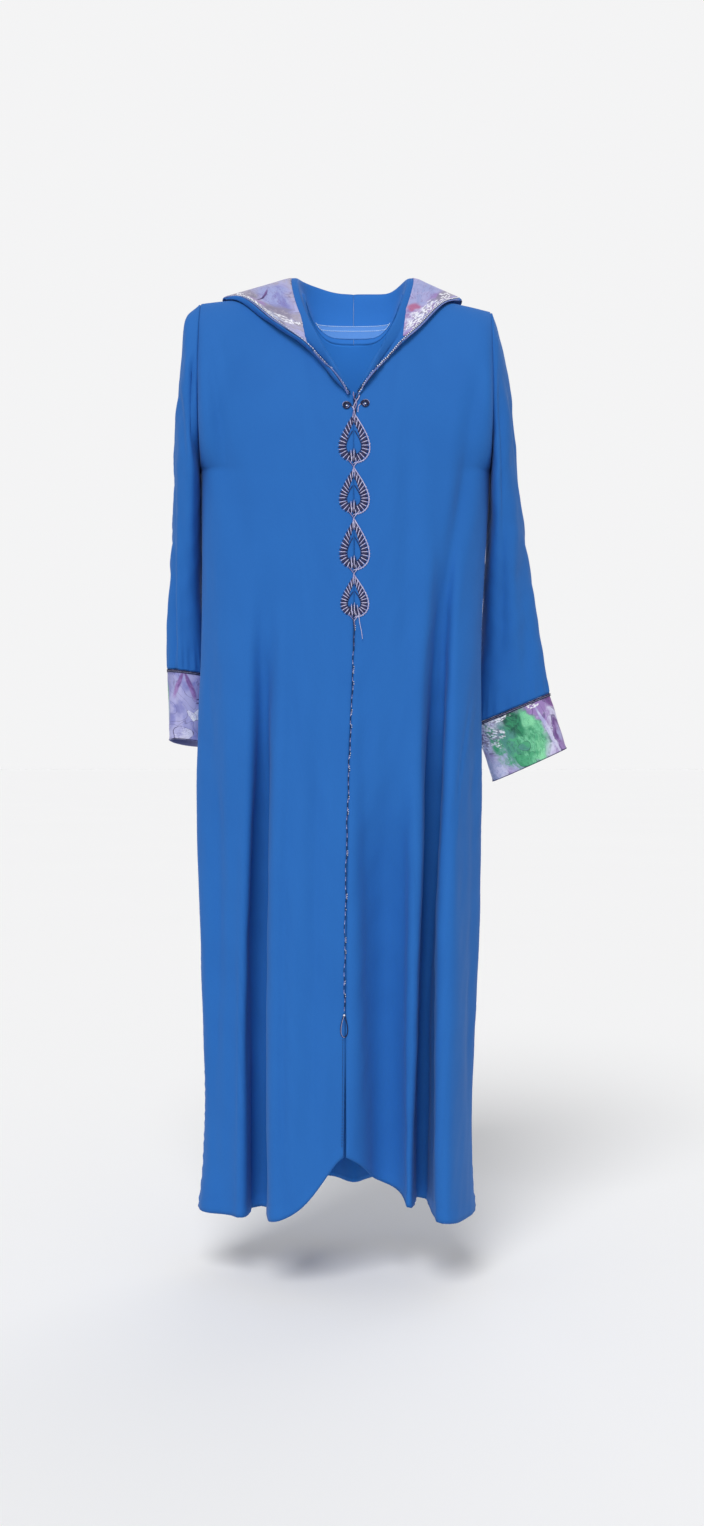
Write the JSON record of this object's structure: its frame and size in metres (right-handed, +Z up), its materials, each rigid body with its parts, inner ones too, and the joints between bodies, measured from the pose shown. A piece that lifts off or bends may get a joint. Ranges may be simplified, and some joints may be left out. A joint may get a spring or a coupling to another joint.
{
  "type": "djellaba robe",
  "caption": "Long hooded robe, open at the neck, cuffs and hem, with printed lapels and cuffs and an embroidered front, held in its worn, hollow form.",
  "frame": {"origin": "middle of the shoulder line, where the wearer's shoulders hold the robe up", "axes": "+Z up, the front faces -Y, the wearer's left arm is on +X"},
  "size_m": [0.6126, 0.2948, 1.3975],
  "materials": {
    "crepe": "matt cornflower-blue crepe with a soft sheen",
    "brocade": "lilac brocade printed with green, purple and pink flowers, with silver patches",
    "navy_braid": "narrow navy braid with silver stitches and beads",
    "silver_thread": "pinkish-silver satin-stitch thread",
    "tape": "pale blue semi-sheer tape with white stitches"
  },
  "bodies": {
    "root": {"front_right": "crepe", "front_left": "crepe", "back": "crepe", "sleeve_right": "crepe", "sleeve_left": "crepe", "cuff_right": "brocade", "cuff_left": "brocade", "cuff_braid_right": "navy_braid", "cuff_braid_left": "navy_braid", "hood_right": "crepe", "hood_left": "crepe", "facing_right": "brocade", "facing_left": "brocade", "hood_braid_right": "navy_braid", "hood_braid_left": "navy_braid", "neck_tape": "tape", "leaf_1": "silver_thread", "leaf_2": "silver_thread", "leaf_3": "silver_thread", "leaf_4": "silver_thread", "curl_right": "silver_thread", "curl_left": "silver_thread", "front_braid": "silver_thread", "slit_knot": "silver_thread", "tail_navy": "navy_braid", "tail_light": "silver_thread"}
  },
  "joints": []
}
